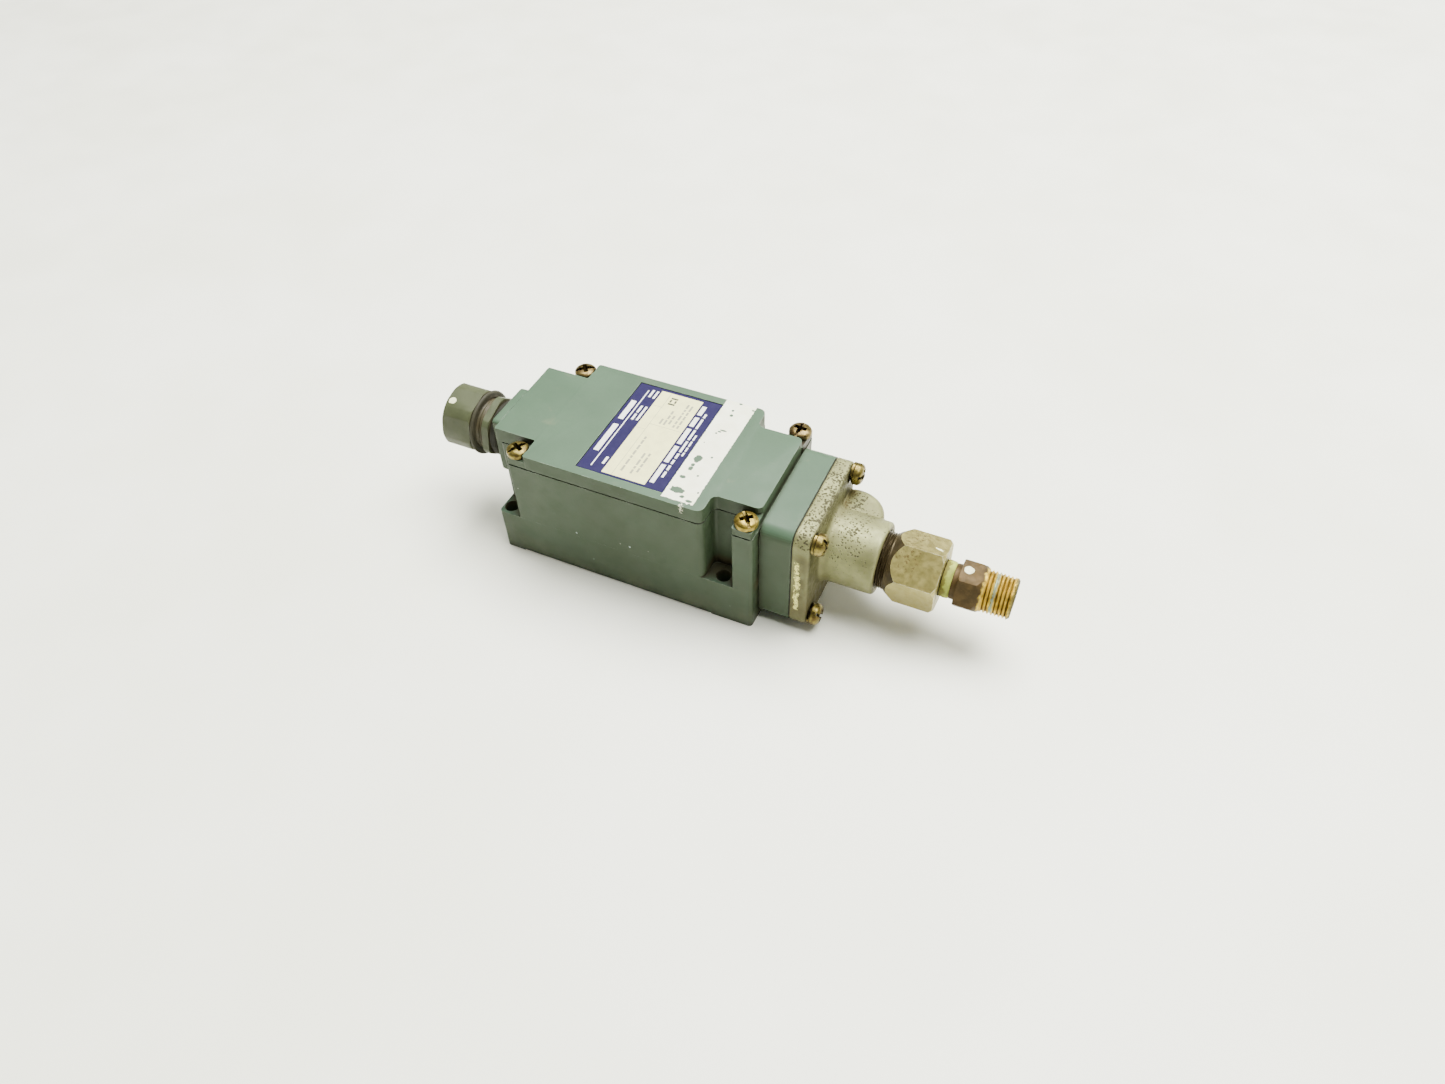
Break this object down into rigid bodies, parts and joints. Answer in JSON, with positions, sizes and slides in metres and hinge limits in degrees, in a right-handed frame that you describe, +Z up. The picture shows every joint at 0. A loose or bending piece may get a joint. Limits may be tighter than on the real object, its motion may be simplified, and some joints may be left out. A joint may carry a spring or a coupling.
{
  "type": "pressure switch",
  "caption": "Block-type pressure switch: painted die-cast case with screwed cover, clamped diaphragm head with a hexagon pipe fitting at one end and a cable gland at the other.",
  "frame": {"origin": "Under the middle of the overall length (to within 1 mm) and width, on the plane the case stands on.", "axes": "+Z up out of the cover, +X towards the pressure fitting, -X towards the cable gland, -Y is the long side with the two front mounting pockets."},
  "size_m": [0.2024, 0.0534, 0.0485],
  "materials": {
    "case_paint": "satin grey-green enamel, worn at edges",
    "bare_casting": "bare die casting with dark pits",
    "nickel_plate": "warm nickel plate on turned brass",
    "browned_brass": "browned brass, semi-matte",
    "yellow_zinc": "yellow zinc plate, dulled",
    "bright_steel": "bright steel",
    "brass": "turned brass",
    "black_rubber": "matte rubber",
    "green_sealant": "cured yellow-green sealant",
    "gland_grey": "olive-grey moulded plastic, satin",
    "label_film": "violet-blue and cream printed plate, worn",
    "black_phenolic": "moulded phenolic",
    "lead_sheath": "smooth insulating sheath",
    "natural_nylon": "natural nylon"
  },
  "bodies": {
    "case_body": {"bracket_screw_1": "bright_steel", "bracket_screw_2": "bright_steel", "case": "case_paint", "cover": "case_paint", "cover_gasket": "black_rubber", "cover_screw_1": "yellow_zinc", "cover_screw_2": "yellow_zinc", "cover_screw_3": "yellow_zinc", "cover_screw_4": "yellow_zinc", "diaphragm": "bright_steel", "earth_screw": "brass", "gland_body": "gland_grey", "gland_grommet": "black_rubber", "gland_rubber_ring": "black_rubber", "gland_seal": "black_rubber", "head_gasket": "black_rubber", "head_screw_1": "yellow_zinc", "head_screw_2": "yellow_zinc", "head_screw_3": "yellow_zinc", "head_screw_4": "yellow_zinc", "label_plate": "label_film", "lead_closed": "lead_sheath", "lead_common": "lead_sheath", "lead_open": "lead_sheath", "lock_nut": "bright_steel", "nipple_seal": "green_sealant", "pivot_pin": "bright_steel", "port_adapter": "nickel_plate", "port_nipple": "browned_brass", "pressure_head": "bare_casting", "rod_guide": "brass", "snap_switch": "black_phenolic", "spring_washer_1": "yellow_zinc", "spring_washer_2": "yellow_zinc", "spring_washer_3": "yellow_zinc", "spring_washer_4": "yellow_zinc", "stem_block": "case_paint", "switch_bracket": "bright_steel", "switch_screw_1": "bright_steel", "switch_screw_2": "bright_steel", "terminal_block": "natural_nylon", "terminal_screw_1": "bright_steel", "terminal_screw_2": "bright_steel", "terminal_screw_3": "bright_steel"},
    "rod_body": {"push_rod": "bright_steel"},
    "lever_body": {"lever": "bright_steel"},
    "plunger_body": {"switch_plunger": "natural_nylon"},
    "seat_body": {"spring_seat": "brass", "range_spring": "bright_steel"},
    "adjuster_body": {"adjusting_screw": "brass"},
    "cap_body": {"gland_cap": "gland_grey"},
    "clamp_ring_body": {"gland_clamp_ring": "bright_steel"}
  },
  "joints": [
    {"name": "push_rod_slide", "type": "slide", "parent": "case_body", "child": "rod_body", "axis": [-1, 0, 0], "range_m": [0, 0.001], "stiffness_N_per_m": 2000, "springref_m": -0.0005, "deforming": ["diaphragm"]},
    {"name": "lever_hinge", "type": "hinge", "parent": "case_body", "child": "lever_body", "pos_m": [-0.002, 0, 0.0085], "axis": [0, -1, 0], "range_deg": [0, 4]},
    {"name": "switch_plunger_slide", "type": "slide", "parent": "case_body", "child": "plunger_body", "axis": [-1, 0, 0], "range_m": [0, 0.00135]},
    {"name": "spring_seat_slide", "type": "slide", "parent": "case_body", "child": "seat_body", "axis": [1, 0, 0], "range_m": [-0.003, 0.003], "deforming": ["range_spring"]},
    {"name": "adjusting_screw_turn", "type": "hinge", "parent": "seat_body", "child": "adjuster_body", "pos_m": [-0.04, 0, 0.0233], "axis": [1, 0, 0], "range_deg": [-1080, 1080]},
    {"name": "clamp_ring_slide", "type": "slide", "parent": "case_body", "child": "clamp_ring_body", "axis": [-1, 0, 0], "range_m": [0, 0.003]},
    {"name": "gland_cap_turn", "type": "hinge", "parent": "clamp_ring_body", "child": "cap_body", "pos_m": [-0.096, -0.0049, 0.0364], "axis": [-1, 0, 0], "range_deg": [0, 720]}
  ],
  "couplings": [
    {"joint": "lever_hinge", "follows": "push_rod_slide", "rad_per_m": 67.568},
    {"joint": "switch_plunger_slide", "follows": "push_rod_slide", "ratio": 1.3176},
    {"joint": "adjusting_screw_turn", "follows": "spring_seat_slide", "rad_per_m": 6283.2},
    {"joint": "gland_cap_turn", "follows": "clamp_ring_slide", "rad_per_m": 4188.8}
  ]
}
